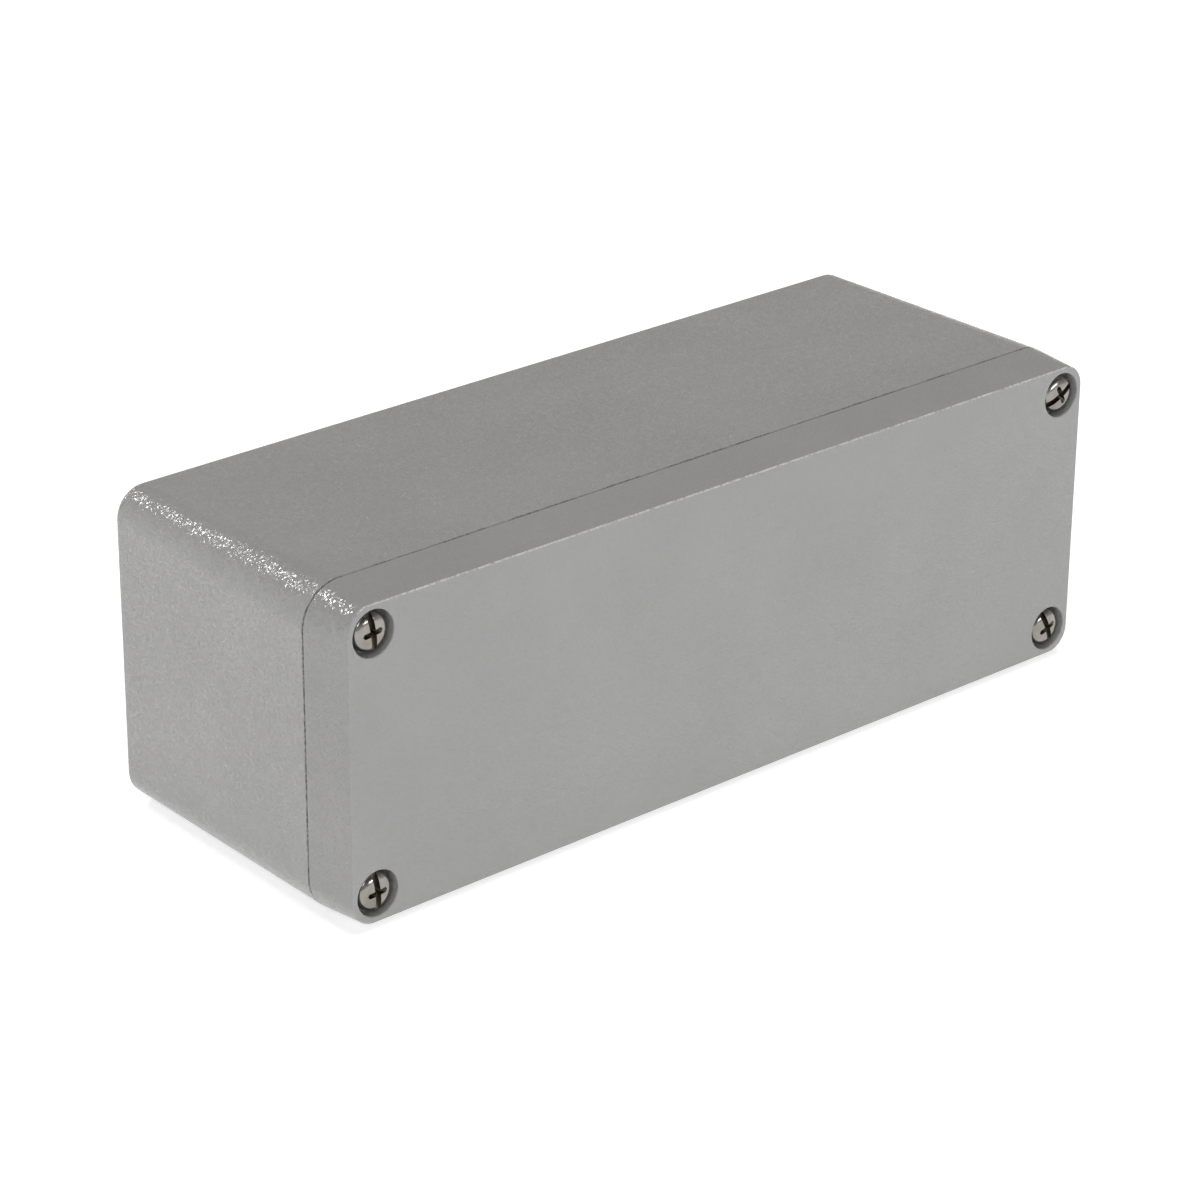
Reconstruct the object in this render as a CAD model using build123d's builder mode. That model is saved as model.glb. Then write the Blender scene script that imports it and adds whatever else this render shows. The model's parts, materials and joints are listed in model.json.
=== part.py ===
from build123d import *

import os
from math import radians, tan

# Die-cast aluminium junction box, lying on one long side wall with its lid to the front.
# X runs along the length, Y from the lid to the back, Z up, and the origin is on the
# ground under the middle of the box. All sizes are in millimetres.

# Outer shape
length = 232.0
width = 80.0
base_depth = 72.0
lid_depth = 12.85
parting_gap = 0.15
end_draft = 1.4
side_draft = 0.7
lid_end_inset = 2.4
lid_side_inset = 1.6
parting_corner_radius = 10.0
back_corner_radius = 7.4
front_corner_radius = 5.9
back_edge_radius = 1.4
front_edge_radius = 0.45
parting_edge_radius = 0.25

# Walls and hollows of the two castings
side_wall = 4.0
end_wall = 3.6
floor_thickness = 4.0
cavity_corner_radius = 4.0
cavity_draft = 1.0
cavity_floor_radius = 2.0
lid_face_thickness = 4.0
lid_rim_width = 1.6
lid_hollow_draft = 3.0
lid_end_pocket_length = 24.0
lid_end_pocket_width = 8.0
base_end_pocket_length = 20.0
base_end_pocket_width = 7.0
end_pocket_radius = 2.5
base_end_pocket_floor = 8.0

# Fixing holes through the base, outside the seal
fixing_end_inset = 8.5
fixing_spacing = 38.0
fixing_hole_radius = 2.4
fixing_channel_radius = 4.5
fixing_floor = 6.0

# Tongue on the base, groove in the lid, and the gasket between them
seal_side_inset = 2.7
seal_setback = 1.5
seal_corner_radius = 4.0
tongue_width = 1.0
tongue_height = 1.4
groove_width = 2.4
groove_depth = 2.6
gasket_clearance = 0.15

# Lid screws: pan heads with a slot and a cross, held captive by a washer on a neck
screw_end_inset = 9.3
screw_side_inset = 8.6
screw_head_radius = 4.75
screw_head_height = 3.7
screw_head_rim = 1.3
screw_length = 16.0
screw_thread_radius = 2.5
screw_thread_pitch = 0.8
screw_tip_chamfer = 0.8
tapped_depth = 9.0
head_recess = 0.05
pocket_radius = 5.6
pocket_edge_radius = 0.35
shank_clearance = 0.25
slot_width = 1.25
slot_depth = 1.5
cross_reach = 5.7
cross_width = 1.3
cross_depth = 2.7
cross_draft = 9.0
unscrew_turns = 8

# Retaining washer on the neck of each lid screw
neck_radius = 1.95
washer_radius = 3.6
washer_thickness = 1.0
washer_lift = 0.2
washer_clearance = 0.1
washer_recess_radius = 3.75

# Thread of the smaller screws inside, and the clearance of every tapped hole
thread_radius = 2.0
thread_pitch = 0.7
thread_clearance = 0.1

# Each lid screw stands in a corner: side along X, side along Z, and how far its slot is turned
corners = {
    "top_left": (-1, 1, 98.0),
    "top_right": (1, 1, 21.0),
    "bottom_left": (-1, -1, 98.0),
    "bottom_right": (1, -1, 116.0),
}

# Mounting rail, a 35 mm top hat section, on two cast bosses
rail_length = 130.0
rail_width = 35.0
rail_channel_width = 27.0
rail_height = 7.5
rail_thickness = 1.0
rail_bend_radius = 0.8
rail_slot_length = 15.0
rail_slot_width = 6.2
rail_slot_pitch = 25.0
rail_slot_count = 5
rail_boss_radius = 5.5
rail_boss_height = 5.0
rail_screw_spacing = 100.0
rail_screw_length = 9.0
rail_washer_radius = 5.0
rail_washer_thickness = 1.0
small_head_radius = 3.9
small_head_height = 2.6
small_slot_width = 1.0
small_slot_depth = 1.2

# Earth point on its own boss
earth_end_inset = 32.0
earth_side_offset = 16.0
earth_boss_radius = 5.0
earth_boss_height = 8.0
earth_saddle_side = 10.0
earth_saddle_thickness = 1.2
earth_saddle_lip = 1.0
spring_washer_radius = 3.6
spring_washer_thickness = 1.0
spring_washer_gap = 0.8
earth_screw_length = 10.0

# Terminal housings: heights are measured from the front of the rail's lips
terminal_width = 10.0
terminal_gap = 0.1
terminal_half_length = 23.0
terminal_height = 38.0
shoulder_height = 36.0
ridge_half_width = 5.0
shoulder_half_width = 19.5
shoulder_drop = 6.0
housing_wall = 1.2
housing_foot_height = 5.0
housing_corner_radius = 1.0
rail_clearance = 0.15
hook_reach = 1.7
hook_thickness = 2.4
foot_leg = 2.6
foot_tab = 3.0
marker_groove_width = 6.0
marker_groove_depth = 2.0
wire_hole_radius = 3.2
hollow_half_width = 6.0
hollow_bottom = 3.0
hollow_top = 16.0

# Rising cage clamps: a screw turns on the current bar and draws its cage up
clamp_offset = 14.0
cage_length = 8.6
cage_width = 8.0
cage_side = 0.9
cage_bottom = 1.2
cage_top = 2.5
cage_window = 7.0
cage_clearance = 0.3
clamp_turns = 6
bar_height = 19.0
bar_thickness = 1.6
bar_width = 5.6
bar_half_length = 17.5
bar_clearance = 0.1
wire_gap = 5.0
clamp_screw_radius = 2.0
clamp_head_radius = 2.9
clamp_head_height = 2.4
clamp_shank_length = 10.0
clamp_channel_radius = 3.2

# Ground terminal foot and its screw
ground_foot_plate = 2.2
ground_foot_width = 8.0
ground_foot_leg = 2.0
ground_head_radius = 3.1

# End plate and end brackets
end_plate_thickness = 1.5
bracket_width = 8.0
bracket_half_length = 19.8
bracket_height = 27.0
bracket_shoulder = 20.0
bracket_neck_half_width = 8.0
bracket_screw_length = 22.0

# Places along the depth, all from the sizes above
total_depth = base_depth + parting_gap + lid_depth
front_y = -total_depth / 2
lid_under_y = front_y + lid_depth
rim_y = lid_under_y + parting_gap
back_y = rim_y + base_depth
floor_y = back_y - floor_thickness
rail_back_y = floor_y - rail_boss_height
rail_lip_y = rail_back_y - rail_height
seat_y = front_y + head_recess + screw_head_height
middle_z = width / 2

# Places across the length and the width
earth_x = length / 2 - earth_end_inset
back_end_inset = base_depth * tan(radians(end_draft))
back_side_inset = base_depth * tan(radians(side_draft))
end_zone = fixing_end_inset + fixing_channel_radius + end_wall
cavity_length = length - 2 * end_zone
cavity_width = width - 2 * side_wall
seal_length = length - 2 * (end_zone - seal_setback)
seal_width = width - 2 * seal_side_inset
fixing_length = length - 2 * fixing_end_inset
screw_spacing_x = length - 2 * screw_end_inset
screw_spacing_z = width - 2 * screw_side_inset
cage_rise = clamp_turns * thread_pitch
screw_rise = unscrew_turns * screw_thread_pitch


def facing(x, y, z):
    """Plane whose normal points to the lid's side: its x is the length and its y is up."""
    return Plane(origin=(x, y, z), x_dir=(1, 0, 0), z_dir=(0, -1, 0))


def across(y):
    """Plane across the middle of the box at depth y."""
    return facing(0, y, middle_z)


def over_rail(x, height, side_offset=0):
    """Plane that faces the lid at a height over the rail's lips, centred on x and a side offset."""
    return facing(x, rail_lip_y - height, middle_z + side_offset)


def along(x):
    """Plane square to the length at x: its x is up, its y is the height over the rail's lips."""
    return Plane(origin=(x, rail_lip_y, middle_z), x_dir=(0, 0, 1), z_dir=(1, 0, 0))


def level(x, y, z):
    """Level plane: its x is the length and its y runs to the back."""
    return Plane(origin=(x, y, z), x_dir=(1, 0, 0), z_dir=(0, 0, 1))


def depth_axis(x, z):
    """Axis along the depth of the box through x and z."""
    return Axis((x, 0, z), (0, 1, 0))


def keep(part, name):
    """Label a finished piece and write its file."""
    part.label = name
    export_step(part, f"parts/{name}.step")


def seal_band(thickness):
    """Rounded rectangular band of the given thickness along the line of the seal, for the sketch in hand."""
    RectangleRounded(seal_length + thickness, seal_width + thickness, seal_corner_radius + thickness / 2)
    RectangleRounded(
        seal_length - thickness,
        seal_width - thickness,
        seal_corner_radius - thickness / 2,
        mode=Mode.SUBTRACT,
    )


def base_casting():
    """Deep tray with drafted walls, screw columns, fixing channels, bosses and the sealing tongue."""
    with BuildPart() as cavity:
        with BuildSketch(across(rim_y)):
            RectangleRounded(cavity_length, cavity_width, cavity_corner_radius)
        extrude(amount=-(base_depth - floor_thickness), taper=cavity_draft)
        fillet(cavity.edges().group_by(Axis.Y)[-1], cavity_floor_radius)

    with BuildPart() as base:
        with BuildSketch(across(rim_y)):
            RectangleRounded(length, width, parting_corner_radius)
        with BuildSketch(across(back_y)):
            RectangleRounded(length - 2 * back_end_inset, width - 2 * back_side_inset, back_corner_radius)
        loft(ruled=True)
        fillet(base.edges().group_by(Axis.Y)[-1], back_edge_radius)
        fillet(base.edges().group_by(Axis.Y)[0], parting_edge_radius)
        add(cavity.part, mode=Mode.SUBTRACT)

        # Tongue that presses into the gasket
        with BuildSketch(across(rim_y)):
            seal_band(tongue_width)
        extrude(amount=tongue_height)

        # Tapped columns for the lid screws
        with Locations(across(rim_y)):
            with GridLocations(screw_spacing_x, screw_spacing_z, 2, 2):
                Hole(screw_thread_radius + thread_clearance, depth=tapped_depth)
            with GridLocations(fixing_length, fixing_spacing, 2, 2):
                CounterBoreHole(fixing_hole_radius, fixing_channel_radius, base_depth - fixing_floor)

        # Hollow between the two fixing channels of each end
        with BuildSketch(across(rim_y)):
            with GridLocations(fixing_length, 0, 2, 1):
                RectangleRounded(base_end_pocket_width, base_end_pocket_length, end_pocket_radius)
        extrude(amount=-(base_depth - base_end_pocket_floor), taper=cavity_draft, mode=Mode.SUBTRACT)

        # Bosses on the floor for the rail and for the earth screw
        with BuildSketch(across(floor_y)):
            with GridLocations(rail_screw_spacing, 0, 2, 1):
                Circle(rail_boss_radius)
        extrude(amount=rail_boss_height)
        with BuildSketch(across(floor_y)):
            with Locations((earth_x, -earth_side_offset)):
                Circle(earth_boss_radius)
        extrude(amount=earth_boss_height)
        with Locations(across(rail_back_y)):
            with GridLocations(rail_screw_spacing, 0, 2, 1):
                Hole(
                    thread_radius + thread_clearance,
                    depth=rail_screw_length - rail_washer_thickness - rail_thickness + thread_clearance,
                )
        with Locations(across(floor_y - earth_boss_height)):
            with Locations((earth_x, -earth_side_offset)):
                Hole(thread_radius + thread_clearance, depth=earth_screw_length - earth_saddle_thickness)
    return base.part


def lid_casting():
    """Shallow tapered cover with screw pockets, washer recesses, a hollow inside and the seal groove."""
    with BuildPart() as lid:
        with BuildSketch(across(lid_under_y)):
            RectangleRounded(length, width, parting_corner_radius)
        with BuildSketch(across(front_y)):
            RectangleRounded(length - 2 * lid_end_inset, width - 2 * lid_side_inset, front_corner_radius)
        loft(ruled=True)
        fillet(lid.edges().group_by(Axis.Y)[0], front_edge_radius)
        fillet(lid.edges().group_by(Axis.Y)[-1], parting_edge_radius)

        # Groove for the gasket, and the hollow inside it
        with BuildSketch(across(lid_under_y)):
            seal_band(groove_width)
        extrude(amount=groove_depth, mode=Mode.SUBTRACT)
        with BuildSketch(across(lid_under_y)):
            RectangleRounded(
                seal_length - groove_width - 2 * lid_rim_width,
                seal_width - groove_width - 2 * lid_rim_width,
                seal_corner_radius - groove_width / 2,
            )
            with GridLocations(fixing_length, 0, 2, 1):
                RectangleRounded(lid_end_pocket_width, lid_end_pocket_length, end_pocket_radius)
        extrude(amount=lid_depth - lid_face_thickness, taper=lid_hollow_draft, mode=Mode.SUBTRACT)

        # Pocket for each screw head, its shank hole and the recess that its washer rises in
        with Locations(across(front_y)):
            with GridLocations(screw_spacing_x, screw_spacing_z, 2, 2):
                CounterBoreHole(
                    screw_thread_radius + shank_clearance, pocket_radius, head_recess + screw_head_height
                )
        rims = lid.edges().group_by(Axis.Y)[0].filter_by(lambda edge: edge.is_closed)
        fillet(rims, pocket_edge_radius)
        with BuildSketch(across(lid_under_y)):
            with GridLocations(screw_spacing_x, screw_spacing_z, 2, 2):
                Circle(washer_recess_radius)
        extrude(
            amount=washer_lift + washer_thickness + screw_rise + washer_clearance, mode=Mode.SUBTRACT
        )
    return lid.part


def lid_gasket():
    """Endless cord of foamed rubber laid in the lid's groove, touched by the tongue."""
    with BuildPart() as gasket:
        with BuildSketch(across(lid_under_y - groove_depth)):
            seal_band(groove_width - 2 * gasket_clearance)
        extrude(amount=-(groove_depth + parting_gap - tongue_height))
    return gasket.part


def lid_screw(x, z, angle):
    """Pan head screw with a slot and a cross, and a neck in its shank for the retaining washer."""
    neck_end = lid_under_y - washer_lift + washer_clearance - seat_y
    neck_start = neck_end - washer_thickness - 2 * washer_clearance
    with BuildPart() as screw:
        with BuildSketch(level(x, seat_y, z)):
            with BuildLine():
                head = TangentArc(
                    (0, -screw_head_height), (screw_head_radius, -screw_head_rim), tangent=(1, 0)
                )
                Polyline(
                    head @ 1,
                    (screw_head_radius, 0),
                    (screw_thread_radius, 0),
                    (screw_thread_radius, neck_start),
                    (neck_radius, neck_start),
                    (neck_radius, neck_end),
                    (screw_thread_radius, neck_end),
                    (screw_thread_radius, screw_length - screw_tip_chamfer),
                    (screw_thread_radius - screw_tip_chamfer, screw_length),
                    (0, screw_length),
                    head @ 0,
                )
            make_face()
        revolve(axis=depth_axis(x, z))
        with BuildSketch(facing(x, seat_y - screw_head_height, z)):
            Rectangle(3 * screw_head_radius, slot_width, rotation=angle)
        extrude(amount=-slot_depth, mode=Mode.SUBTRACT)
        with BuildSketch(facing(x, seat_y - screw_head_height, z)):
            Rectangle(cross_reach, cross_width, rotation=angle)
            Rectangle(cross_width, cross_reach, rotation=angle)
        extrude(amount=-cross_depth, taper=cross_draft, mode=Mode.SUBTRACT)
    return screw.part


def flat_washer(x, y, z, outer_radius, inner_radius, thickness):
    """Flat ring from depth y towards the back."""
    with BuildPart() as washer:
        with BuildSketch(level(x, y, z)):
            with Locations(((inner_radius + outer_radius) / 2, thickness / 2)):
                Rectangle(outer_radius - inner_radius, thickness)
        revolve(axis=depth_axis(x, z))
    return washer.part


def slotted_screw(x, y, z, head_radius, head_height, shank_radius, shank_length):
    """Slotted cheese head screw whose head rests at depth y and whose shank runs to the back."""
    with BuildPart() as screw:
        with BuildSketch(level(x, y, z)):
            with BuildLine():
                Polyline(
                    (0, -head_height),
                    (head_radius, -head_height),
                    (head_radius, 0),
                    (shank_radius, 0),
                    (shank_radius, shank_length),
                    (0, shank_length),
                    close=True,
                )
            make_face()
        revolve(axis=depth_axis(x, z))
        with BuildSketch(facing(x, y - head_height, z)):
            Rectangle(3 * head_radius, small_slot_width)
        extrude(amount=-small_slot_depth, mode=Mode.SUBTRACT)
    return screw.part


def mounting_rail():
    """Top hat rail, rolled from strip, with elongated holes in its floor."""
    lip = rail_width / 2
    web = rail_channel_width / 2
    with BuildPart() as rail:
        with BuildSketch(along(-rail_length / 2)) as section:
            with BuildLine():
                Polyline(
                    (-lip, 0),
                    (-web + rail_thickness, 0),
                    (-web + rail_thickness, rail_thickness - rail_height),
                    (web - rail_thickness, rail_thickness - rail_height),
                    (web - rail_thickness, 0),
                    (lip, 0),
                    (lip, -rail_thickness),
                    (web, -rail_thickness),
                    (web, -rail_height),
                    (-web, -rail_height),
                    (-web, -rail_thickness),
                    (-lip, -rail_thickness),
                    close=True,
                )
            make_face()
            bends = section.vertices().filter_by(lambda v: abs(v.X) < lip - rail_thickness)
            fillet(bends, rail_bend_radius)
        extrude(amount=rail_length)
        with BuildSketch(across(rail_back_y)):
            with GridLocations(rail_slot_pitch, 0, rail_slot_count, 1):
                SlotOverall(rail_slot_length, rail_slot_width)
        extrude(amount=rail_thickness, mode=Mode.SUBTRACT)
    return rail.part


def rail_screws():
    """The two screws that hold the rail on its bosses."""
    seat = rail_back_y - rail_thickness - rail_washer_thickness
    spots = [side * rail_screw_spacing / 2 for side in (-1, 1)]
    return Compound(
        children=[
            slotted_screw(
                x, seat, middle_z, small_head_radius, small_head_height, thread_radius, rail_screw_length
            )
            for x in spots
        ]
    )


def rail_washers():
    """A washer under each rail screw, because the head is hardly wider than the slot."""
    y = rail_back_y - rail_thickness - rail_washer_thickness
    hole = thread_radius + thread_clearance
    spots = [side * rail_screw_spacing / 2 for side in (-1, 1)]
    return Compound(
        children=[
            flat_washer(x, y, middle_z, rail_washer_radius, hole, rail_washer_thickness) for x in spots
        ]
    )


def earth_saddle():
    """Square clamping washer with two lips that keep the earth core under it."""
    top_y = floor_y - earth_boss_height
    with BuildPart() as saddle:
        with BuildSketch(across(top_y)):
            with Locations((earth_x, -earth_side_offset)):
                Rectangle(earth_saddle_side, earth_saddle_side)
                Circle(thread_radius + thread_clearance, mode=Mode.SUBTRACT)
        extrude(amount=earth_saddle_thickness)
        with BuildSketch(across(top_y - earth_saddle_thickness)):
            with Locations((earth_x, -earth_side_offset)):
                with GridLocations(0, earth_saddle_side - earth_saddle_lip, 1, 2):
                    Rectangle(earth_saddle_side, earth_saddle_lip)
        extrude(amount=earth_saddle_lip)
    return saddle.part


def earth_spring_washer():
    """Split spring washer between the saddle and the head of the earth screw."""
    z = middle_z - earth_side_offset
    y = floor_y - earth_boss_height - earth_saddle_thickness - spring_washer_thickness
    with BuildPart() as washer:
        with BuildSketch(level(earth_x, y, z)):
            inner = thread_radius + thread_clearance
            with Locations(((inner + spring_washer_radius) / 2, spring_washer_thickness / 2)):
                Rectangle(spring_washer_radius - inner, spring_washer_thickness)
        revolve(axis=depth_axis(earth_x, z))
        with BuildSketch(across(y)):
            with Locations((earth_x + spring_washer_radius, -earth_side_offset)):
                Rectangle(2 * spring_washer_radius, spring_washer_gap)
        extrude(amount=-spring_washer_thickness, mode=Mode.SUBTRACT)
    return washer.part


def body_points(half_length, bottom, foot_half_length):
    """Half outline of a terminal body, from the middle of its foot to the middle of its ridge."""
    return [
        (0, bottom),
        (foot_half_length, bottom),
        (foot_half_length, housing_foot_height),
        (half_length, housing_foot_height + (half_length - foot_half_length)),
        (half_length, shoulder_height - shoulder_drop),
        (shoulder_half_width, shoulder_height),
        (ridge_half_width, shoulder_height),
        (ridge_half_width, terminal_height),
        (0, terminal_height),
    ]


def stiff_foot_points():
    """Outline of the stiff hook that grips the lower lip of the rail from behind."""
    lip = rail_width / 2 + rail_clearance
    toe = -rail_thickness - rail_clearance
    tip = toe - hook_thickness
    return [
        (-lip, rail_clearance),
        (-lip, toe),
        (-lip + hook_reach, toe),
        (-lip + hook_reach / 2, tip),
        (-lip - foot_leg, tip),
        (-lip - foot_leg, rail_clearance),
    ]


def spring_foot_points():
    """Outline of the springy hook for the upper lip, with a tab to release it."""
    lip = rail_width / 2 + rail_clearance
    toe = -rail_thickness - rail_clearance
    tip = toe - hook_thickness
    return [
        (lip, rail_clearance),
        (lip, toe),
        (lip - hook_reach, toe),
        (lip - hook_reach / 2, tip),
        (lip + foot_tab, tip),
        (lip + foot_tab, tip + hook_thickness / 2),
        (lip + foot_leg / 2, tip + hook_thickness / 2),
        (lip + foot_leg / 2, rail_clearance),
    ]


def clamp_x(start):
    """Middle of the clamps in a terminal that starts at x."""
    return start + housing_wall + (terminal_width - housing_wall) / 2


def terminal_housing(start, on_metal_foot):
    """Moulded body, closed on its left face and open on its right, with a chamber for each clamp."""
    middle = clamp_x(start)
    chamber_top = bar_height - wire_gap + cage_window + cage_top + cage_rise
    chamber_bottom = bar_height - wire_gap - cage_bottom - cage_clearance
    seat = bar_height + bar_thickness + clamp_shank_length - cage_clearance
    bottom = ground_foot_plate + rail_clearance if on_metal_foot else rail_clearance
    foot_half_length = rail_width / 2 + rail_clearance + foot_leg
    with BuildPart() as housing:
        with BuildSketch(along(start)):
            with BuildLine():
                Polyline(*body_points(terminal_half_length, bottom, foot_half_length))
                mirror(about=Plane.YZ)
            make_face()
            if not on_metal_foot:
                for points in (stiff_foot_points(), spring_foot_points()):
                    with BuildLine():
                        Polyline(*points, close=True)
                    make_face()
        extrude(amount=terminal_width)

        # Chambers, the slot for the bar and the hollow under it, all open to the right
        with BuildSketch(along(start + housing_wall)):
            with Locations((0, (chamber_bottom + chamber_top + cage_clearance) / 2)):
                with GridLocations(2 * clamp_offset, 0, 2, 1):
                    Rectangle(
                        cage_length + 2 * cage_clearance, chamber_top + cage_clearance - chamber_bottom
                    )
            with Locations((0, bar_height + bar_thickness / 2)):
                Rectangle(2 * clamp_offset, bar_thickness + 2 * bar_clearance)
            with Locations((0, (hollow_bottom + hollow_top) / 2)):
                RectangleRounded(
                    2 * hollow_half_width, hollow_top - hollow_bottom, housing_corner_radius
                )
        extrude(amount=terminal_width, mode=Mode.SUBTRACT)

        # Screw channels from the front, wire entries from both sides
        with Locations(over_rail(middle, shoulder_height)):
            with GridLocations(0, 2 * clamp_offset, 1, 2):
                CounterBoreHole(
                    clamp_screw_radius + cage_clearance,
                    clamp_channel_radius,
                    shoulder_height - seat,
                    depth=shoulder_height - chamber_top,
                )
        wire_height = bar_height - wire_gap / 2
        for side in (-1, 1):
            with BuildSketch(level(middle, rail_lip_y - wire_height, middle_z + side * clamp_offset)):
                Circle(wire_hole_radius)
            extrude(amount=side * terminal_half_length, mode=Mode.SUBTRACT)

        # Groove along the ridge for a marker strip
        with BuildSketch(along(start)):
            with Locations((0, terminal_height)):
                Rectangle(marker_groove_width, 2 * marker_groove_depth)
        extrude(amount=terminal_width, mode=Mode.SUBTRACT)

        if on_metal_foot:
            with Locations(over_rail(middle, terminal_height)):
                CounterBoreHole(
                    thread_radius + thread_clearance,
                    ground_head_radius + cage_clearance,
                    terminal_height - bar_height - bar_thickness,
                )
    return housing.part


def current_bar(start, drilled):
    """Flat copper bar that joins the two clamps of a terminal."""
    with BuildPart() as bar:
        with BuildSketch(along(clamp_x(start) - bar_width / 2)):
            with Locations((0, bar_height + bar_thickness / 2)):
                Rectangle(2 * bar_half_length, bar_thickness)
        extrude(amount=bar_width)
        if drilled:
            with Locations(over_rail(clamp_x(start), bar_height + bar_thickness)):
                Hole(thread_radius + thread_clearance)
    return bar.part


def clamp_cage(start, side):
    """Folded steel cage around the bar: the core lies on its floor and its roof is tapped."""
    middle = clamp_x(start)
    floor = bar_height - wire_gap - cage_bottom
    height = cage_bottom + cage_window + cage_top
    with BuildPart() as cage:
        with BuildSketch(along(middle - cage_width / 2)):
            with Locations((side * clamp_offset, floor + height / 2)):
                RectangleRounded(cage_length, height, cage_side / 2)
        extrude(amount=cage_width)
        with BuildSketch(along(middle - cage_width / 2 + cage_side)):
            with Locations((side * clamp_offset, floor + cage_bottom + cage_window / 2)):
                Rectangle(2 * cage_length, cage_window)
        extrude(amount=cage_width - 2 * cage_side, mode=Mode.SUBTRACT)
        with Locations(over_rail(middle, floor + height, side * clamp_offset)):
            Hole(clamp_screw_radius + thread_clearance, depth=cage_top)
    return cage.part


def clamp_screw(start, side):
    """Clamp screw that turns on the bar, its head in the channel of the housing."""
    head_y = rail_lip_y - bar_height - bar_thickness - clamp_shank_length
    return slotted_screw(
        clamp_x(start),
        head_y,
        middle_z + side * clamp_offset,
        clamp_head_radius,
        clamp_head_height,
        clamp_screw_radius,
        clamp_shank_length,
    )


def ground_foot(start):
    """Metal foot of the ground terminal, gripping both lips of the rail."""
    lip = rail_width / 2 + rail_clearance
    toe = -rail_thickness - rail_clearance
    with BuildPart() as foot:
        with BuildSketch(along(clamp_x(start) - ground_foot_width / 2)):
            with BuildLine():
                Polyline(
                    (0, 0),
                    (lip, 0),
                    (lip, toe),
                    (lip - hook_reach, toe),
                    (lip - hook_reach, toe - ground_foot_leg),
                    (lip + ground_foot_leg, toe - ground_foot_leg),
                    (lip + ground_foot_leg, ground_foot_plate),
                    (0, ground_foot_plate),
                )
                mirror(about=Plane.YZ)
            make_face()
        extrude(amount=ground_foot_width)
        with Locations(over_rail(clamp_x(start), ground_foot_plate)):
            Hole(thread_radius + thread_clearance)
    return foot.part


def ground_foot_screw(start):
    """Screw that draws the foot of the ground terminal to its bar."""
    return slotted_screw(
        clamp_x(start),
        rail_lip_y - bar_height - bar_thickness,
        middle_z,
        ground_head_radius,
        small_head_height,
        thread_radius,
        bar_height + bar_thickness,
    )


def end_plate(start):
    """Thin plate that closes the open side of the last terminal."""
    foot_half_length = rail_width / 2 + rail_clearance + foot_leg
    with BuildPart() as plate:
        with BuildSketch(along(start)):
            with BuildLine():
                Polyline(*body_points(terminal_half_length, rail_clearance, foot_half_length))
                mirror(about=Plane.YZ)
            make_face()
        extrude(amount=end_plate_thickness)
    return plate.part


def end_bracket(start):
    """Block that clamps on the rail and keeps the row of terminals together."""
    with BuildPart() as bracket:
        with BuildSketch(along(start)):
            with BuildLine():
                Polyline(
                    (0, rail_clearance),
                    (bracket_half_length, rail_clearance),
                    (bracket_half_length, bracket_shoulder),
                    (bracket_neck_half_width, bracket_height),
                    (0, bracket_height),
                )
                mirror(about=Plane.YZ)
            make_face()
            for points in (stiff_foot_points(), spring_foot_points()):
                with BuildLine():
                    Polyline(*points, close=True)
                make_face()
        extrude(amount=bracket_width)
        with Locations(over_rail(start + bracket_width / 2, bracket_height)):
            Hole(thread_radius + thread_clearance)
    return bracket.part


def end_bracket_screws(starts):
    """The clamping screw of each end bracket."""
    return Compound(
        children=[
            slotted_screw(
                start + bracket_width / 2,
                rail_lip_y - bracket_height,
                middle_z,
                small_head_radius - shank_clearance,
                small_head_height,
                thread_radius,
                bracket_screw_length,
            )
            for start in starts
        ]
    )


os.makedirs("parts", exist_ok=True)

# The two castings and the seal
keep(base_casting(), "base_casting")
keep(lid_casting(), "lid_casting")
keep(lid_gasket(), "lid_gasket")

# Captive lid screws and their washers, one in each corner
for corner, (side_x, side_z, angle) in corners.items():
    screw_x = side_x * screw_spacing_x / 2
    screw_z = middle_z + side_z * screw_spacing_z / 2
    keep(lid_screw(screw_x, screw_z, angle), f"lid_screw_{corner}")
    keep(
        flat_washer(
            screw_x,
            lid_under_y - washer_lift - washer_thickness,
            screw_z,
            washer_radius,
            neck_radius + washer_clearance,
            washer_thickness,
        ),
        f"retaining_washer_{corner}",
    )

# Rail and earth point
keep(mounting_rail(), "mounting_rail")
keep(rail_screws(), "rail_screws")
keep(rail_washers(), "rail_washers")
keep(earth_saddle(), "earth_saddle")
keep(earth_spring_washer(), "earth_spring_washer")
keep(
    slotted_screw(
        earth_x,
        floor_y - earth_boss_height - earth_saddle_thickness - spring_washer_thickness,
        middle_z - earth_side_offset,
        small_head_radius,
        small_head_height,
        thread_radius,
        earth_screw_length,
    ),
    "earth_screw",
)

# Row on the rail: a bracket, four through terminals, the ground terminal, the end plate, a bracket
terminal_names = ["terminal_1", "terminal_2", "terminal_3", "terminal_4", "ground_terminal"]
terminal_pitch = terminal_width + terminal_gap
row_length = (
    2 * bracket_width + 2 * terminal_gap + len(terminal_names) * terminal_pitch + end_plate_thickness
)
row_start = -row_length / 2
first_terminal = row_start + bracket_width + terminal_gap
plate_start = first_terminal + len(terminal_names) * terminal_pitch
bracket_starts = {"left": row_start, "right": plate_start + end_plate_thickness + terminal_gap}
for number, name in enumerate(terminal_names):
    start = first_terminal + number * terminal_pitch
    is_ground = name == "ground_terminal"
    keep(terminal_housing(start, is_ground), f"{name}_housing")
    keep(current_bar(start, is_ground), f"{name}_bar")
    for end, side in (("lower", -1), ("upper", 1)):
        keep(clamp_cage(start, side), f"{name}_{end}_cage")
        keep(clamp_screw(start, side), f"{name}_{end}_screw")
    if is_ground:
        keep(ground_foot(start), "ground_foot")
        keep(ground_foot_screw(start), "ground_foot_screw")
keep(end_plate(plate_start), "end_plate")
for side, start in bracket_starts.items():
    keep(end_bracket(start), f"end_bracket_{side}")
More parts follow.
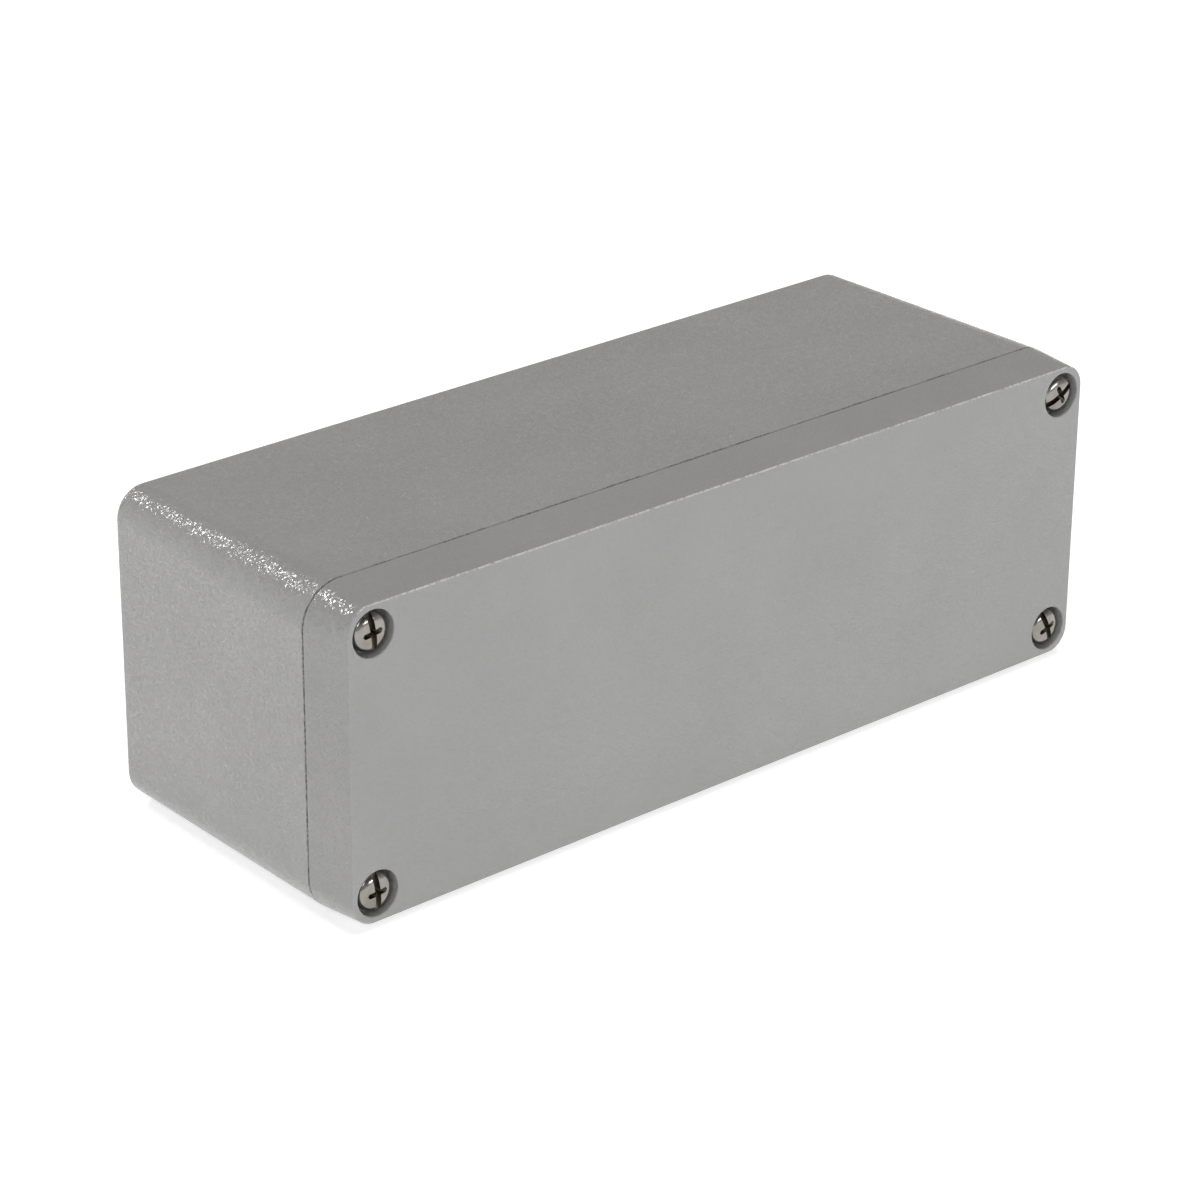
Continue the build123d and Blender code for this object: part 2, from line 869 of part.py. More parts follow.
keep(end_bracket_screws(bracket_starts.values()), "end_bracket_screws")
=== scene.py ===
# %% [markdown]
# # Aluminium junction box
#
# A long die-cast box lies on one long side, with its screwed lid towards the camera. The model that
# arrives here already has every casting, screw and terminal at its real size and place. What is left
# is how the pieces look: coats, metals, plastics, the lid screws, the light and the camera.
#
# Everything is in metres. X runs along the box, the lid faces -Y and Z is up.

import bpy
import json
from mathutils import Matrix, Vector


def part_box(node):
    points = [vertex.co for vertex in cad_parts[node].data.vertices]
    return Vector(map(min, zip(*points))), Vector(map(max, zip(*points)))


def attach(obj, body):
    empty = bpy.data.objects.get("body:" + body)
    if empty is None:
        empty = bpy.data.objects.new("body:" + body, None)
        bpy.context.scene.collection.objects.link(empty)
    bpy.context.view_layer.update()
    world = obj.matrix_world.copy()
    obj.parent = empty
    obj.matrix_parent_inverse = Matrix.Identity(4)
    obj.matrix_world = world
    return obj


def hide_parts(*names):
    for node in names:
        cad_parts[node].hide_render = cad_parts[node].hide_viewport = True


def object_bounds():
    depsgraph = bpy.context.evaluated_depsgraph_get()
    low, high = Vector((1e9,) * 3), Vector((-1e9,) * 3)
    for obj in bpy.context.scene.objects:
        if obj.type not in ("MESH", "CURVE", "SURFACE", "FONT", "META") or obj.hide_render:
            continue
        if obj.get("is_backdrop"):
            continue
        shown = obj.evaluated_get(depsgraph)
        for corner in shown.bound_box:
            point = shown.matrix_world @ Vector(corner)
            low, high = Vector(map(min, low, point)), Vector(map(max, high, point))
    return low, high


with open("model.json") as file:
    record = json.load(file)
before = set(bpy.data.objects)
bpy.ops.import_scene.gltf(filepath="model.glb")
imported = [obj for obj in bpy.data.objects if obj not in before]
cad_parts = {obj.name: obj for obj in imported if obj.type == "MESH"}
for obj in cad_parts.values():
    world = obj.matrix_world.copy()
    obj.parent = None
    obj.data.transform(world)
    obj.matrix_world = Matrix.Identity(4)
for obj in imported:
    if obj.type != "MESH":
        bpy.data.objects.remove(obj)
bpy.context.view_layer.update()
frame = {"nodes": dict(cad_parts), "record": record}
parts = frame["nodes"]

# %% Tools of the trade
import json
import math

import bmesh
import bpy
from mathutils import Matrix, Vector

MM = 0.001
print("sizes below are in millimetres times", MM)

# %% [markdown]
# ## The camera
#
# The photograph was taken with a long lens from the front left, a little above the box. Where the
# camera stood can be worked out from the outline: the box has straight edges, so each corner seen in
# the picture fixes the place and the lens a little more. A long lens from far away keeps the edges
# nearly parallel, which a normal lens from close by would not. No shift is used, so that every other
# view of the box is framed the same way.

# %% Stand the camera where the photograph was taken
camera_data = bpy.data.cameras.new("camera")
camera_data.sensor_width = 36.0
camera_data.lens = 120.5
camera_data.clip_start = 0.05
camera_data.clip_end = 50.0
camera = bpy.data.objects.new("camera", camera_data)
camera.location = (-0.58055, -0.65533, 0.43361)
right = Vector((0.753881, -0.656968, 0.007460))
up = Vector((0.268304, 0.318208, 0.909262))
camera.rotation_mode = "QUATERNION"
camera.rotation_quaternion = Matrix((right, up, right.cross(up))).transposed().to_quaternion()
bpy.context.scene.collection.objects.link(camera)
bpy.context.scene.camera = camera
print("camera", round(camera.location.length, 3), "m from the box")

# %% [markdown]
# ## Floor and light
#
# The box lies on a board of white acrylic that glows a little, the usual way to lose the shadow of a
# product. The board also lights the upright walls from below, so they come out paler than the top,
# as in the photograph. The room is a plain sky that is bright at the horizon and dim overhead:
# polished metal mirrors the whole room, and without a dim part the screws would look like white
# plastic. Each soft box is an area light, and the larger it is, the softer what it does.
#
# The front and left lamps light the two walls that the camera sees, and the top lamp keeps the top
# from going dull. The back lamp is small, so that the coat's facets throw it back as sparks along
# the rounded left edge. The edge lamp is a wide panel low behind the box, which fills the dark band
# that would lie below those sparks. The rim lamp picks out the lid's front edge. None of them shows
# in a picture itself, as a real one is kept out of the frame.

# %% Make the room
scene = bpy.context.scene
scene.view_settings.view_transform = "Standard"
world = bpy.data.worlds.new("studio")
scene.world = world
world.use_nodes = True
room = world.node_tree
direction = room.nodes.new("ShaderNodeSeparateXYZ")
dimmer = room.nodes.new("ShaderNodeMapRange")
HORIZON, SKY = 0.61, 0.14
SKY_FROM = 0.5
for name, value in zip(("From Min", "From Max", "To Min", "To Max"), (0.0, SKY_FROM, HORIZON, SKY)):
    dimmer.inputs[name].default_value = value
room.links.new(room.nodes.new("ShaderNodeTexCoord").outputs["Generated"], direction.inputs["Vector"])
room.links.new(direction.outputs["Z"], dimmer.inputs["Value"])
room.links.new(dimmer.outputs["Result"], room.nodes["Background"].inputs["Strength"])
room.nodes["Background"].inputs["Color"].default_value = (1.0, 1.0, 1.0, 1.0)
print("room from", HORIZON, "at the horizon to", SKY, "overhead")

# %% Lay the floor
floor_mesh = bpy.data.meshes.new("floor")
FLOOR_REACH = 4.0
corners = [(-1, -1), (1, -1), (1, 1), (-1, 1)]
floor_points = [(x * FLOOR_REACH, y * FLOOR_REACH, 0) for x, y in corners]
floor_mesh.from_pydata(floor_points, [], [(0, 1, 2, 3)])
floor = bpy.data.objects.new("floor", floor_mesh)
scene.collection.objects.link(floor)
floor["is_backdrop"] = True
print("floor", 2 * FLOOR_REACH, "m wide")


# %% Hang the soft boxes
def soft_box(name, place, aim, width, height, watts):
    """A rectangular lamp at a place, turned to a point."""
    data = bpy.data.lights.new(name, "AREA")
    data.shape = "RECTANGLE"
    data.size, data.size_y = width, height
    data.energy = watts
    lamp = bpy.data.objects.new(name, data)
    lamp.location = place
    lamp.visible_camera = False
    lamp.rotation_mode = "QUATERNION"
    lamp.rotation_quaternion = (Vector(aim) - Vector(place)).to_track_quat("-Z", "Y")
    scene.collection.objects.link(lamp)
    return lamp


box_middle = (0.0, 0.0, 0.04)
lamps = [
    soft_box("front_lamp", (0.40, -1.40, 0.34), box_middle, 0.8, 0.14, 3.4),
    soft_box("left_lamp", (-1.05, -0.9, 0.9), box_middle, 0.6, 0.6, 4.9),
    soft_box("back_lamp", (-0.43, 1.19, 1.10), (-0.11, 0.0, 0.08), 0.28, 0.28, 6.8),
    soft_box("rim_lamp", (0.95, -0.62, 1.08), (0.0, -0.04, 0.08), 0.2, 0.2, 1.2),
    soft_box("edge_lamp", (-1.02, 1.13, 0.42), (-0.11, 0.0, 0.06), 0.9, 0.8, 1.8),
    soft_box("top_lamp", (0.2, -0.1, 1.6), box_middle, 0.8, 0.8, 9.8),
]
COOL, WARM = (0.93, 0.97, 1.0), (1.0, 0.93, 0.87)
lamps[0].data.color = COOL
lamps[-1].data.color = WARM
print("lamps", [lamp.name for lamp in lamps])


# %% [markdown]
# ## Building a finish
#
# A finish is a small network of nodes that ends in one shader. Noise gives a height or a spread of
# colour, a range turns it into useful numbers, and a bump lets the light see it as relief. The
# functions here add one such step each, so that the recipes below stay short. All patterns are
# measured in the object's own metres, so a grain of half a millimetre stays that size on every piece.
#
# Facets are the one unusual step. A pattern of cells gives each cell a random colour, which is read
# as the way that its flat patch leans. The height of a leaning patch is how far a point lies from the
# middle of its cell, measured along that lean.

# %% Small steps that every finish uses
class Finish:
    """One material and its shader, with a function for each step of a recipe."""

    def __init__(self, name, roughness, metallic=0.0):
        self.material = bpy.data.materials.new(name)
        self.material.use_nodes = True
        self.tree = self.material.node_tree
        self.shader = self.tree.nodes["Principled BSDF"]
        self.shader.inputs["Roughness"].default_value = roughness
        self.shader.inputs["Metallic"].default_value = metallic
        self.point = self.tree.nodes.new("ShaderNodeTexCoord").outputs["Object"]
        self.relief = None

    def wire(self, source, target):
        self.tree.links.new(source, target)

    def noise(self, size, detail=2.0):
        """Clouds about as large as size."""
        node = self.tree.nodes.new("ShaderNodeTexNoise")
        node.inputs["Scale"].default_value = 1.0 / size
        node.inputs["Detail"].default_value = detail
        self.wire(self.point, node.inputs["Vector"])
        return node.outputs["Fac"]

    def voronoi(self, size):
        """The cells round many points that lie about size apart."""
        node = self.tree.nodes.new("ShaderNodeTexVoronoi")
        node.inputs["Scale"].default_value = 1.0 / size
        self.wire(self.point, node.inputs["Vector"])
        return node.outputs

    def cells(self, size):
        """Distance to the nearest of those points."""
        return self.voronoi(size)["Distance"]

    def vector(self, operation, first, second):
        """Arithmetic on two vectors, each a source or a plain value."""
        node = self.tree.nodes.new("ShaderNodeVectorMath")
        node.operation = operation
        for socket, value in zip(node.inputs, (first, second)):
            if isinstance(value, tuple):
                socket.default_value = value
            else:
                self.wire(value, socket)
        return node.outputs["Value" if operation == "DOT_PRODUCT" else "Vector"]

    def facets(self, size):
        """Height, in metres, of small flat facets that lean to all sides, about size across."""
        cell = self.voronoi(size)
        lean = self.vector("SUBTRACT", cell["Color"], (0.5, 0.5, 0.5))
        inside = self.vector("SUBTRACT", self.point, cell["Position"])
        return self.vector("DOT_PRODUCT", lean, inside)

    def range(self, source, low, high, to_low=0.0, to_high=1.0):
        """A range of the source, brought to another range and held there."""
        node = self.tree.nodes.new("ShaderNodeMapRange")
        names = ("From Min", "From Max", "To Min", "To Max")
        for name, value in zip(names, (low, high, to_low, to_high)):
            node.inputs[name].default_value = value
        self.wire(source, node.inputs["Value"])
        return node.outputs["Result"]

    def math(self, operation, first, second):
        """Arithmetic on two numbers, each a source or a plain value."""
        node = self.tree.nodes.new("ShaderNodeMath")
        node.operation = operation
        for socket, value in zip(node.inputs, (first, second)):
            if isinstance(value, (int, float)):
                socket.default_value = value
            else:
                self.wire(value, socket)
        return node.outputs["Value"]

    def times(self, first, second):
        return self.math("MULTIPLY", first, second)

    def axis(self, name):
        """One coordinate of the point: X, Y or Z."""
        node = self.tree.nodes.new("ShaderNodeSeparateXYZ")
        self.wire(self.point, node.inputs["Vector"])
        return node.outputs[name]

    def band(self, source, low, high, soft):
        """One between low and high and nought outside, with soft borders."""
        rise = self.range(source, low - soft, low)
        return self.times(rise, self.range(source, high, high + soft, 1.0, 0.0))

    def mix(self, amount, first, second):
        """From the first colour to the second as amount goes from nought to one."""
        node = self.tree.nodes.new("ShaderNodeMix")
        node.data_type = "RGBA"
        self.wire(amount, node.inputs["Factor"])
        for socket, colour in ((node.inputs["A"], first), (node.inputs["B"], second)):
            if isinstance(colour, tuple):
                socket.default_value = (*colour, 1.0)
            else:
                self.wire(colour, socket)
        return node.outputs["Result"]

    def colour(self, source):
        self.wire(source, self.shader.inputs["Base Color"])

    def roughness(self, source):
        self.wire(source, self.shader.inputs["Roughness"])

    def bump(self, height, distance):
        """Adds relief of height times distance, in metres, on top of the relief so far."""
        node = self.tree.nodes.new("ShaderNodeBump")
        node.inputs["Distance"].default_value = distance
        node.inputs["Strength"].default_value = 1.0
        self.wire(height, node.inputs["Height"])
        if self.relief is not None:
            self.wire(self.relief, node.inputs["Normal"])
        self.relief = node.outputs["Normal"]
        self.wire(self.relief, self.shader.inputs["Normal"])


print("a finish has these steps:", [step for step in vars(Finish) if not step.startswith("_")])

# %% [markdown]
# ## Powder coat on the castings
#
# Textured powder coat melts into a skin of tiny grains as it cures. It could be a picture of such a
# surface, but a pattern stays sharp at any distance. Facets of less than half a millimetre lean up to
# ten degrees, so that each throws a lamp back or doesn't: they break a highlight into sparks. A soft
# wrinkle lies under them, stronger in some places than in others. Specks of powder stand proud in a
# few patches, and broad clouds give the slight unevenness of the casting below.

# %% Mix the powder coat
coat = Finish("powder_coat", roughness=0.3)
FACET_LEAN = 0.33
facets = coat.facets(0.42 * MM)
wrinkle = coat.noise(1.0 * MM, detail=1.0)
speckled = coat.range(coat.noise(28 * MM), 0.48, 0.56)
specks = coat.times(coat.range(coat.cells(1.7 * MM), 0.0, 0.2, 1.0, 0.0), speckled)
swell = coat.noise(5 * MM)
tint = coat.noise(30 * MM, detail=3.0)
patchy = coat.range(coat.noise(45 * MM), 0.3, 0.7, 0.6, 1.0)
GREY, PALER_GREY = (0.318, 0.318, 0.318), (0.334, 0.334, 0.333)
body_grey = coat.mix(coat.range(tint, 0.35, 0.65), GREY, PALER_GREY)
print("powder coat", len(coat.tree.nodes), "nodes so far")

# %% [markdown]
# Two marks are painted only at edges. A dark line of painted shade sits in the seam between base
# and lid, where the gap lies in shadow, broken up by noise, and a pale line of painted highlight runs
# along the lid's upper front edge. Both are bands at a known depth, so the object's own Y picks them
# out, and noise frays them. The painted shade keeps to the outside: the seam follows a rectangle with
# rounded corners, so a point is outside when it lies far enough from the middle of its corner's
# curve.

# %% Painted shade in the seam, painted highlight on the front edge
HALF_LENGTH, HALF_HEIGHT = 116 * MM, 40 * MM
PARTING_CORNER = 10 * MM
OUTSIDE_FROM, OUTSIDE_TO = PARTING_CORNER - 0.8 * MM, PARTING_CORNER - 0.6 * MM
SEAM_FROM, SEAM_TO = -29.84 * MM, -29.30 * MM
EDGE_FROM, EDGE_TO = -42.45 * MM, -42.22 * MM
EDGE_LOW, EDGE_HIGH = 77.2 * MM, 77.8 * MM
# The first of these colours is painted shade for the seam, the second a painted highlight for the
# lid's front edge.
SEAM_SHADE, EDGE_HIGHLIGHT = (0.16, 0.158, 0.154), (0.60, 0.60, 0.59)
depth = coat.axis("Y")


def past(coordinate, middle, half):
    """How far the point lies beyond a distance from the middle on either side, nought within it."""
    away = coat.math("ABSOLUTE", coat.math("SUBTRACT", coordinate, middle), 0.0)
    return coat.math("MAXIMUM", coat.math("SUBTRACT", away, half), 0.0)


past_x = past(coat.axis("X"), 0.0, HALF_LENGTH - PARTING_CORNER)
past_z = past(coat.axis("Z"), HALF_HEIGHT, HALF_HEIGHT - PARTING_CORNER)
squares = coat.math("ADD", coat.times(past_x, past_x), coat.times(past_z, past_z))
from_corner = coat.math("SQRT", squares, 0.0)
outside = coat.range(from_corner, OUTSIDE_FROM, OUTSIDE_TO)
fray = coat.noise(0.7 * MM, detail=3.0)
seam = coat.band(depth, SEAM_FROM, SEAM_TO, 0.08 * MM)
broken = coat.range(coat.noise(7 * MM), 0.42, 0.5, 0.2, 1.0)
# Painted shade: a dark frayed line in the outer seam between base and lid.
frayed_seam = coat.times(coat.times(seam, outside), coat.range(fray, 0.38, 0.56))
painted_seam_shade = coat.times(frayed_seam, broken)
upper = coat.range(coat.axis("Z"), EDGE_LOW, EDGE_HIGH, 0.1, 1.0)
edge = coat.band(depth, EDGE_FROM, EDGE_TO, 0.05 * MM)
# Painted highlight: a pale frayed line along the lid's upper front edge.
painted_edge_highlight = coat.times(coat.times(edge, coat.range(fray, 0.36, 0.58, 0.1, 1.0)), upper)
coat.colour(coat.mix(painted_edge_highlight, coat.mix(painted_seam_shade, body_grey, SEAM_SHADE), EDGE_HIGHLIGHT))
print("powder coat", len(coat.tree.nodes), "nodes with its colours")

# %% [markdown]
# The relief goes on from coarse to fine, as every step stands on the one before it.

# %% Give the coat its relief
coat.roughness(coat.range(wrinkle, 0.3, 0.7, 0.17, 0.24))
coat.bump(swell, 0.10 * MM)
coat.bump(coat.times(wrinkle, patchy), 0.06 * MM)
coat.bump(facets, FACET_LEAN)
coat.bump(specks, 0.045 * MM)
print("powder coat", len(coat.tree.nodes), "nodes in all")

# %% [markdown]
# ## Metals
#
# Stainless steel is polished and only slightly yellow, with fine marks left by turning. Zinc plating
# is duller and bluish, and its yellow passivation varies from straw to pink. Tinned copper is soft
# and satin. All are the same recipe with other colours: two tones in soft clouds, a roughness
# that varies, and a very small relief. A screw's recess gets a dark brownish steel of its own:
# painted shade for the hollow of the slot and cross.


# %% Mix the metals
def metal(name, light, dark, shine, grain_size, relief):
    """A plated or polished metal with two tones, two roughnesses and a fine grain."""
    smooth, rough = shine
    finish = Finish(name, roughness=(smooth + rough) / 2, metallic=1.0)
    cloud = finish.noise(4 * MM, detail=4.0)
    fine = finish.noise(grain_size)
    finish.colour(finish.mix(finish.range(cloud, 0.35, 0.65), light, dark))
    finish.roughness(finish.range(fine, 0.3, 0.7, smooth, rough))
    finish.bump(fine, relief)
    return finish.material


stainless = metal(
    "stainless_steel", (0.33, 0.315, 0.295), (0.25, 0.24, 0.22), (0.1, 0.22), 0.3 * MM, 0.006 * MM
)
zinc = metal(
    "zinc_plating", (0.62, 0.64, 0.67), (0.50, 0.52, 0.55), (0.25, 0.42), 0.2 * MM, 0.006 * MM
)
yellow_zinc = metal(
    "yellow_passivation", (0.66, 0.57, 0.34), (0.60, 0.50, 0.38), (0.25, 0.4), 0.3 * MM, 0.006 * MM
)
tinned = metal(
    "tinned_copper", (0.70, 0.67, 0.62), (0.60, 0.56, 0.50), (0.3, 0.45), 0.3 * MM, 0.008 * MM
)
# Painted shade: the recess is coloured a dark brownish steel so that the slot and cross look shaded.
painted_shade_recess = metal(
    "painted_shade_recess", (0.20, 0.17, 0.13), (0.05, 0.042, 0.034), (0.3, 0.55), 0.3 * MM, 0.03 * MM
)
print("metals", [m.name for m in (stainless, painted_shade_recess, zinc, yellow_zinc, tinned)])

# %% [markdown]
# ## Rubber and plastics
#
# The gasket is foamed rubber: nearly black, with a skin of small pores. The terminals are moulded
# polyamide, which comes out of a spark-eroded mould with a fine matt grain and picks up a little
# dust. The ground terminal is green with a yellow ridge, so that nobody mistakes it.

# %% Mix the rubber and the plastics
RIDGE_LOW, RIDGE_HIGH = 31 * MM, 49 * MM
foam = Finish("foamed_rubber", roughness=0.85)
pores = foam.cells(0.5 * MM)
foam.colour(foam.mix(foam.range(pores, 0.1, 0.5), (0.008, 0.008, 0.008), (0.028, 0.028, 0.028)))
foam.bump(pores, 0.12 * MM)


def moulded(name, colour, second=None):
    """Moulded polyamide, with a second colour along the ridge if one is given."""
    finish = Finish(name, roughness=0.5)
    spark = finish.noise(0.12 * MM, detail=3.0)
    haze = finish.noise(8 * MM, detail=3.0)
    paler = tuple(0.88 * channel + 0.03 for channel in colour)
    body = finish.mix(finish.range(haze, 0.4, 0.75), colour, paler)
    if second:
        ridge = finish.band(finish.axis("Z"), RIDGE_LOW, RIDGE_HIGH, 0.1 * MM)
        body = finish.mix(ridge, body, second)
    finish.colour(body)
    finish.roughness(finish.range(haze, 0.3, 0.7, 0.42, 0.58))
    finish.bump(spark, 0.015 * MM)
    return finish.material


grey = moulded("grey_polyamide", (0.30, 0.31, 0.31))
blue = moulded("blue_polyamide", (0.02, 0.12, 0.42))
ground = moulded("green_yellow_polyamide", (0.03, 0.26, 0.06), (0.75, 0.62, 0.03))
print("plastics", [m.name for m in (grey, blue, ground)])

# %% [markdown]
# ## Which piece gets which finish
#
# The model's record already says what each piece is made of, under one slot name per finish. Reading
# that list is safer than naming fifty pieces again.

# %% Put the finishes on the pieces
finish_of_slot = {
    "castings": coat.material,
    "gasket": foam.material,
    "stainless": stainless,
    "zinc_steel": zinc,
    "yellow_steel": yellow_zinc,
    "tinned_copper": tinned,
    "grey_polyamide": grey,
    "blue_polyamide": blue,
    "ground_polyamide": ground,
}
for row in frame["record"]["subparts"]:
    mesh = parts[row["node"]].data
    mesh.materials.clear()
    mesh.materials.append(finish_of_slot[row["material_slot"]])

# %% [markdown]
# ## Softer edges
#
# No real edge is perfectly sharp: a moulded or pressed one has a radius of a tenth of a millimetre or
# more, and that thin curve catches the light. A bevel adds it where two faces meet at an angle and
# leaves the large shape alone.


# %% Round the small edges
SHARP_ANGLE = math.radians(50)
MOULDED = ("housing", "bracket_left", "bracket_right", "end_plate")
PRESSED = ("cage", "bar", "foot", "saddle")


def soften(piece, width):
    """A narrow two-step bevel on every sharp edge of a piece."""
    bevel = piece.modifiers.new("soft_edges", "BEVEL")
    bevel.width = width
    bevel.segments = 2
    bevel.limit_method = "ANGLE"
    bevel.angle_limit = SHARP_ANGLE
    bevel.harden_normals = True


for name, piece in parts.items():
    if any(word in name for word in MOULDED):
        soften(piece, 0.2 * MM)
    elif any(word in name for word in PRESSED):
        soften(piece, 0.1 * MM)
print("softened", sum(bool(piece.modifiers) for piece in parts.values()), "pieces")

# %% [markdown]
# ## The lid screws
#
# Four stainless pan heads sit in the corner pockets. They are the brightest things in the picture, so
# they get a finer mesh than the solids have: a turned blank with a real thread, then a straight slot
# and a cross cut out of the head. Turning is a grid of rings, where each ring has its own radius and
# the thread is a radius that changes round the ring. The cuts are easier with a boolean: the slot is
# a bar, and the cross is two wedges that narrow with depth.

# %% Sizes of a lid screw
SEAT = -38.75 * MM
HEAD_RADIUS = 4.75 * MM
HEAD_HEIGHT = 3.7 * MM
HEAD_RIM = 1.5 * MM
HEAD_CHAMFER = 0.12 * MM
FULLNESS = 2.5
THREAD_RADIUS = 2.5 * MM
THREAD_ROOT = 2.0 * MM
NECK_RADIUS = 1.95 * MM
PITCH = 0.8 * MM
NECK_START, NECK_END, TIP = 7.8 * MM, 9.0 * MM, 16.0 * MM
AROUND, STEPS_PER_TURN = 72, 12
print("a head of", 2000 * HEAD_RADIUS, "mm and", 1000 * HEAD_HEIGHT, "mm high")


# %% Turn the blank
def thread_radius(depth, angle):
    """Radius of the thread below the seat: a right-hand ridge that fades at both ends."""
    wave = 0.5 - 0.5 * math.cos(2 * math.pi * (depth / PITCH + angle / (2 * math.pi)))
    fade = min(1.0, (depth - NECK_END) / PITCH, (TIP - depth) / PITCH)
    return THREAD_ROOT + (THREAD_RADIUS - THREAD_ROOT) * wave * max(fade, 0.0)


def dome_depth(radius):
    """Where the surface of the head is along Y at a radius."""
    across = min(1.0, radius / HEAD_RADIUS)
    return SEAT - HEAD_RIM - (HEAD_HEIGHT - HEAD_RIM) * (1 - across ** FULLNESS) ** (1 / FULLNESS)


def head_rings(steps=20):
    """Depth and radius of each ring: an oval with full shoulders above a short straight rim."""
    rings = []
    for step in range(1, steps + 1):
        turn = math.pi / 2 * step / steps
        radius = HEAD_RADIUS * math.sin(turn) ** (2 / FULLNESS)
        rings.append((dome_depth(radius), radius))
    return rings + [(SEAT - HEAD_CHAMFER, HEAD_RADIUS), (SEAT, HEAD_RADIUS - HEAD_CHAMFER)]


def turned_blank():
    """Mesh of a screw along Y: dome, shank, neck and thread, closed at both ends."""
    rings = [(y, [radius] * AROUND) for y, radius in head_rings()]
    plain = [(0.0, THREAD_RADIUS + 0.2 * MM), (0.15 * MM, THREAD_RADIUS)]
    plain += [(NECK_START - 0.2 * MM, THREAD_RADIUS), (NECK_START, NECK_RADIUS)]
    plain += [(NECK_END, NECK_RADIUS)]
    rings += [(SEAT + depth, [radius] * AROUND) for depth, radius in plain]
    turns = [2 * math.pi * i / AROUND for i in range(AROUND)]
    steps = round((TIP - NECK_END) / PITCH * STEPS_PER_TURN)
    for step in range(1, steps + 1):
        depth = NECK_END + (TIP - NECK_END) * step / steps
        rings.append((SEAT + depth, [thread_radius(depth, turn) for turn in turns]))
    points = [(0.0, SEAT - HEAD_HEIGHT, 0.0), (0.0, SEAT + TIP, 0.0)]
    for y, radii in rings:
        points += [(r * math.cos(a), y, r * math.sin(a)) for r, a in zip(radii, turns)]
    faces = []
    for i in range(AROUND):
        j = (i + 1) % AROUND
        faces.append((0, 2 + i, 2 + j))
        last = 2 + (len(rings) - 1) * AROUND
        faces.append((1, last + j, last + i))
        for ring in range(len(rings) - 1):
            low = 2 + ring * AROUND
            faces.append((low + i, low + AROUND + i, low + AROUND + j, low + j))
    mesh = bpy.data.meshes.new("screw_blank")
    mesh.from_pydata(points, [], faces)
    return mesh


blank = turned_blank()
print("blank with", len(blank.polygons), "faces")


# %% Make the cutters
def wedge(name, top, bottom, top_y, bottom_y):
    """Solid between two outlines with as many points, one above the other along Y."""
    count = len(top)
    points = [(x, top_y, z) for x, z in top] + [(x, bottom_y, z) for x, z in bottom]
    sides = [(i, (i + 1) % count, count + (i + 1) % count, count + i) for i in range(count)]
    mesh = bpy.data.meshes.new(name)
    mesh.from_pydata(points, [], [tuple(range(count))[::-1], tuple(range(count, 2 * count)), *sides])
    solid = bmesh.new()
    solid.from_mesh(mesh)
    bmesh.ops.recalc_face_normals(solid, faces=solid.faces)
    solid.to_mesh(mesh)
    solid.free()
    cutter = bpy.data.objects.new(name, mesh)
    scene.collection.objects.link(cutter)
    return cutter


def arm(reach, half_width, point):
    """Outline of one bar of the cross in millimetres, pointed at both ends."""
    return [
        (-reach, 0), (point - reach, -half_width), (reach - point, -half_width),
        (reach, 0), (reach - point, half_width), (point - reach, half_width),
    ]


def scaled(outline, turned=False):
    """An outline in metres, a quarter turn on if it is the other bar."""
    return [((z if turned else x) * MM, (x if turned else z) * MM) for x, z in outline]


SLOT_DEPTH, CROSS_DEPTH = 1.5 * MM, 2.7 * MM
top_of_head = SEAT - HEAD_HEIGHT
above = top_of_head - 0.2 * MM
slot_bar = scaled([(-6, -0.75), (6, -0.75), (6, 0.75), (-6, 0.75)])
cutters = [wedge("slot", slot_bar, slot_bar, above, top_of_head + SLOT_DEPTH)]
wide, narrow = arm(2.95, 0.66, 0.5), arm(1.0, 0.4, 0.3)
for turned in (False, True):
    mouth, bottom = scaled(wide, turned), scaled(narrow, turned)
    cutters.append(wedge("cross", mouth, bottom, above, top_of_head + CROSS_DEPTH))
print("cutters", [cutter.name for cutter in cutters])

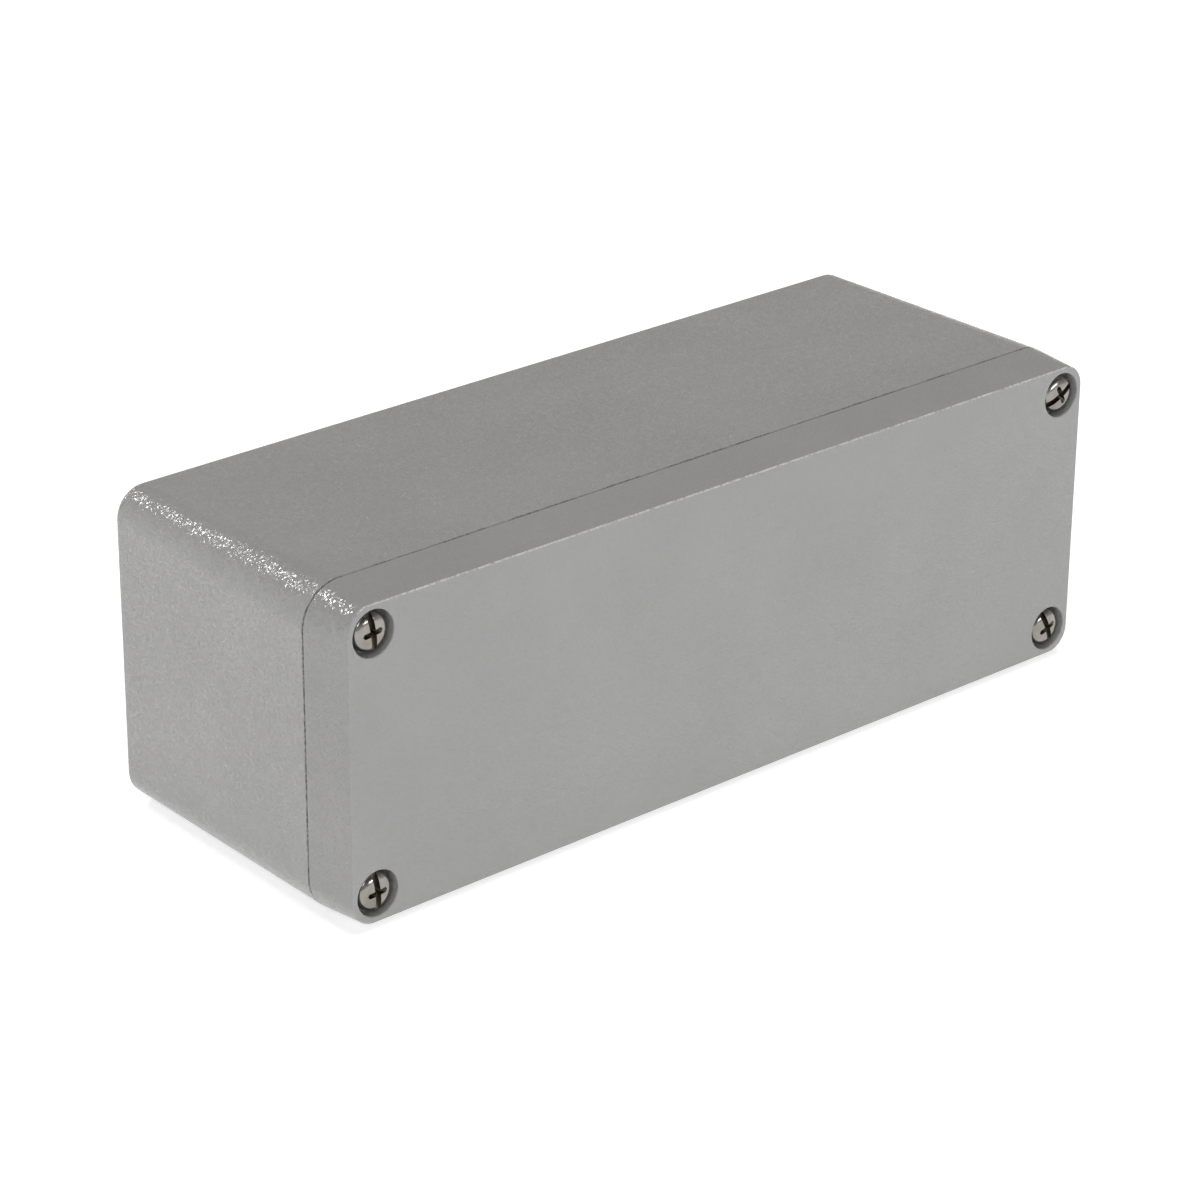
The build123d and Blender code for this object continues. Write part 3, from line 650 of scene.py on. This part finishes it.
# %% Cut the head once
master = bpy.data.objects.new("screw_master", blank)
scene.collection.objects.link(master)
for cutter in cutters:
    cut = master.modifiers.new("cut", "BOOLEAN")
    cut.object = cutter
    cut.operation = "DIFFERENCE"
    cut.solver = "EXACT"
graph = bpy.context.evaluated_depsgraph_get()
screw_mesh = bpy.data.meshes.new_from_object(master.evaluated_get(graph))
for helper in (master, *cutters):
    bpy.data.objects.remove(helper)
print("screw with", len(screw_mesh.polygons), "faces")

# %% Paint shade into the recess
UNDER_DOME, OVER_SEAT, WITHIN_RIM = 0.12 * MM, 0.2 * MM, 0.985
screw_mesh.materials.clear()
screw_mesh.materials.append(stainless)
screw_mesh.materials.append(painted_shade_recess)
for polygon in screw_mesh.polygons:
    polygon.use_smooth = True
    middle = polygon.center
    radius = math.hypot(middle.x, middle.z)
    below_dome = middle.y > dome_depth(radius) + UNDER_DOME
    in_head = middle.y < SEAT - OVER_SEAT and radius < WITHIN_RIM * HEAD_RADIUS
    polygon.material_index = int(in_head and below_dome)
dark_faces = sum(polygon.material_index for polygon in screw_mesh.polygons)
print(dark_faces, "faces of the recess")

# %% Set the four screws in their corners
slot_angles = {"top_left": 98.0, "top_right": 27.0, "bottom_left": 95.0, "bottom_right": 112.0}
for corner, angle in slot_angles.items():
    node = f"lid_screw_{corner}"
    low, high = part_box(node)
    middle = (low + high) / 2
    mesh = screw_mesh.copy()
    mesh.transform(Matrix.Rotation(math.radians(-angle), 4, "Y"))
    mesh.transform(Matrix.Translation((middle.x, 0.0, middle.z)))
    screw = bpy.data.objects.new(f"pan_head_{corner}", mesh)
    scene.collection.objects.link(screw)
    soften(screw, 0.06 * MM)
    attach(screw, node)
    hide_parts(node)
print("screws set at", slot_angles)

# %% [markdown]
# ## The floor's own finish
#
# White acrylic, with clouds so faint that they only keep it from looking like paper, and a glow that
# stands for the lamps below it.

# %% Finish the floor
board = Finish("white_acrylic", roughness=0.9)
GLOW = 0.56
board.colour(board.mix(board.noise(0.4), (0.80, 0.80, 0.80), (0.82, 0.82, 0.82)))
board.shader.inputs["Emission Color"].default_value = (1.0, 1.0, 1.0, 1.0)
board.shader.inputs["Emission Strength"].default_value = GLOW
floor.data.materials.append(board.material)
print("floor finish", board.material.name, "glows at", GLOW)

# %% Measure the dressed box
low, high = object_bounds()
print("dressed box", [round(1000 * side, 1) for side in high - low], "mm")
